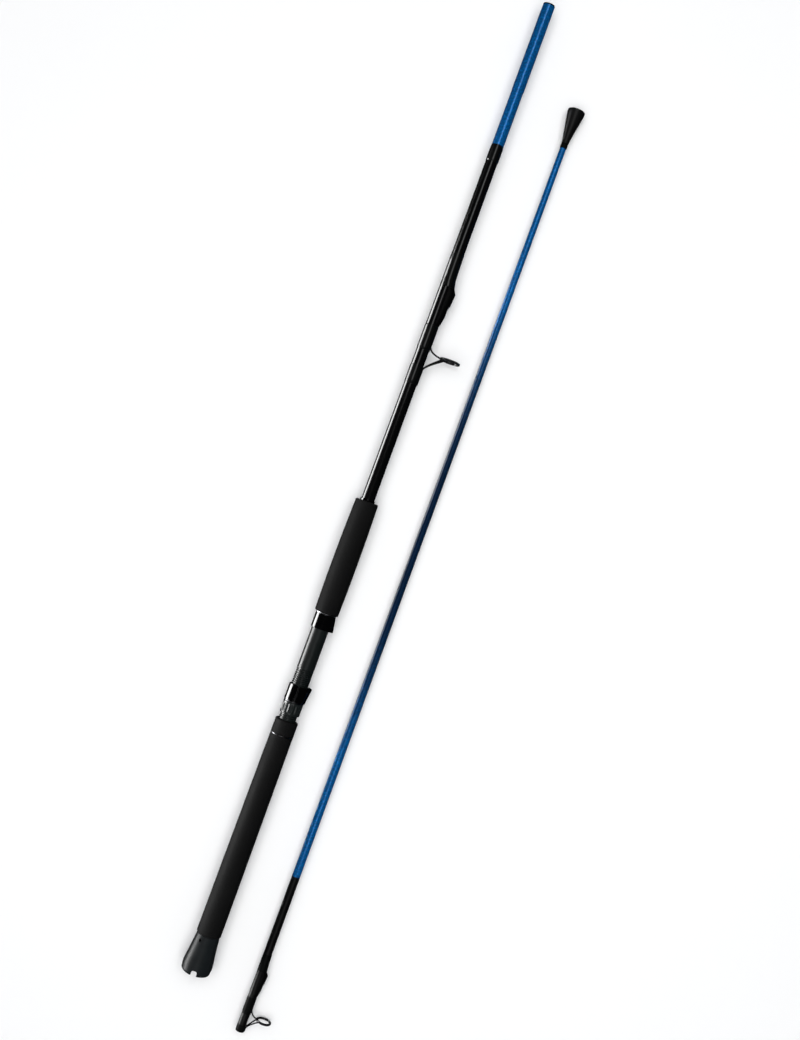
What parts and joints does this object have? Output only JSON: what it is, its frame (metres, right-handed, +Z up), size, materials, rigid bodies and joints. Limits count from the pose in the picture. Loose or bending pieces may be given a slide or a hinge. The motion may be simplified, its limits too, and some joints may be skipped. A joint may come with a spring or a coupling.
{
  "type": "two-section inner-line boat fishing rod",
  "caption": "Two-section boat fishing rod with foam grips, screw-down reel seat, gimbal end, ring guides, intake hoods and a funnel tip; line runs inside the blank.",
  "frame": {"origin": "centre of the gimbal's end face, on the butt section's axis", "axes": "+X along the butt section from the gimbal end to its open mouth, +Z up from the floor, guides stand out to -Y"},
  "size_m": [1.3935, 0.1367, 0.04],
  "materials": {
    "cap_rubber": "satin",
    "grip_foam": "matt closed-cell foam",
    "trim_metal": "satin",
    "screw_steel": "dark",
    "seat_graphite": "satin, graphite filled",
    "hood_black": "gloss",
    "nut_grey": "satin",
    "pad_rubber": "soft",
    "arbor_foam": "rigid foam",
    "blank_gloss": "clear coated, black then blue",
    "winding_gloss": "thread under clear resin",
    "guide_metal": "black plated",
    "ring_ceramic": "polished",
    "funnel_black": "satin"
  },
  "bodies": {
    "butt_section": {"gimbal_cap": "cap_rubber", "gimbal_screw": "screw_steel", "rear_grip": "grip_foam", "rear_trim_ring": "trim_metal", "collar_grip": "grip_foam", "front_trim_ring": "trim_metal", "foregrip": "grip_foam", "winding_check": "hood_black", "seat_barrel": "seat_graphite", "seat_arbor_rear": "arbor_foam", "seat_arbor_middle": "arbor_foam", "seat_arbor_front": "arbor_foam", "fixed_hood": "hood_black", "fixed_hood_pad": "pad_rubber", "butt_blank": "blank_gloss", "colour_break_band": "winding_gloss", "ferrule_sleeve": "blank_gloss", "butt_guide_frame": "guide_metal", "butt_guide_ring": "ring_ceramic", "butt_guide_rear_winding": "winding_gloss", "butt_guide_front_winding": "winding_gloss", "butt_intake_hood": "hood_black", "butt_intake_liner": "ring_ceramic", "butt_intake_winding": "winding_gloss"},
    "moving_hood": {"moving_hood": "hood_black", "moving_hood_pad": "pad_rubber", "hood_washer": "trim_metal"},
    "lock_nut": {"lock_nut": "nut_grey"},
    "tip_section": {"tip_blank": "blank_gloss", "tip_guide_frame": "guide_metal", "tip_guide_ring": "ring_ceramic", "tip_guide_rear_winding": "winding_gloss", "tip_guide_front_winding": "winding_gloss", "tip_intake_hood": "hood_black", "tip_intake_liner": "ring_ceramic", "tip_intake_winding": "winding_gloss", "tip_funnel_winding": "winding_gloss", "tip_funnel": "funnel_black", "tip_rim_ring": "ring_ceramic"}
  },
  "joints": [
    {"name": "nut_turn", "type": "hinge", "parent": "moving_hood", "child": "lock_nut", "pos_m": [0.365, 0, 0], "axis": [1, 0, 0], "range_deg": [-1008, 3168]},
    {"name": "hood_slide", "type": "slide", "parent": "butt_section", "child": "moving_hood", "axis": [1, 0, 0], "range_m": [-0.007, 0.022]},
    {"name": "tip_section_slide", "type": "slide", "parent": "butt_section", "child": "tip_section", "axis": [1, 0, 0], "range_m": [0, 1.395]}
  ],
  "couplings": [
    {"joint": "hood_slide", "follows": "nut_turn", "m_per_rad": 0.00039789}
  ]
}
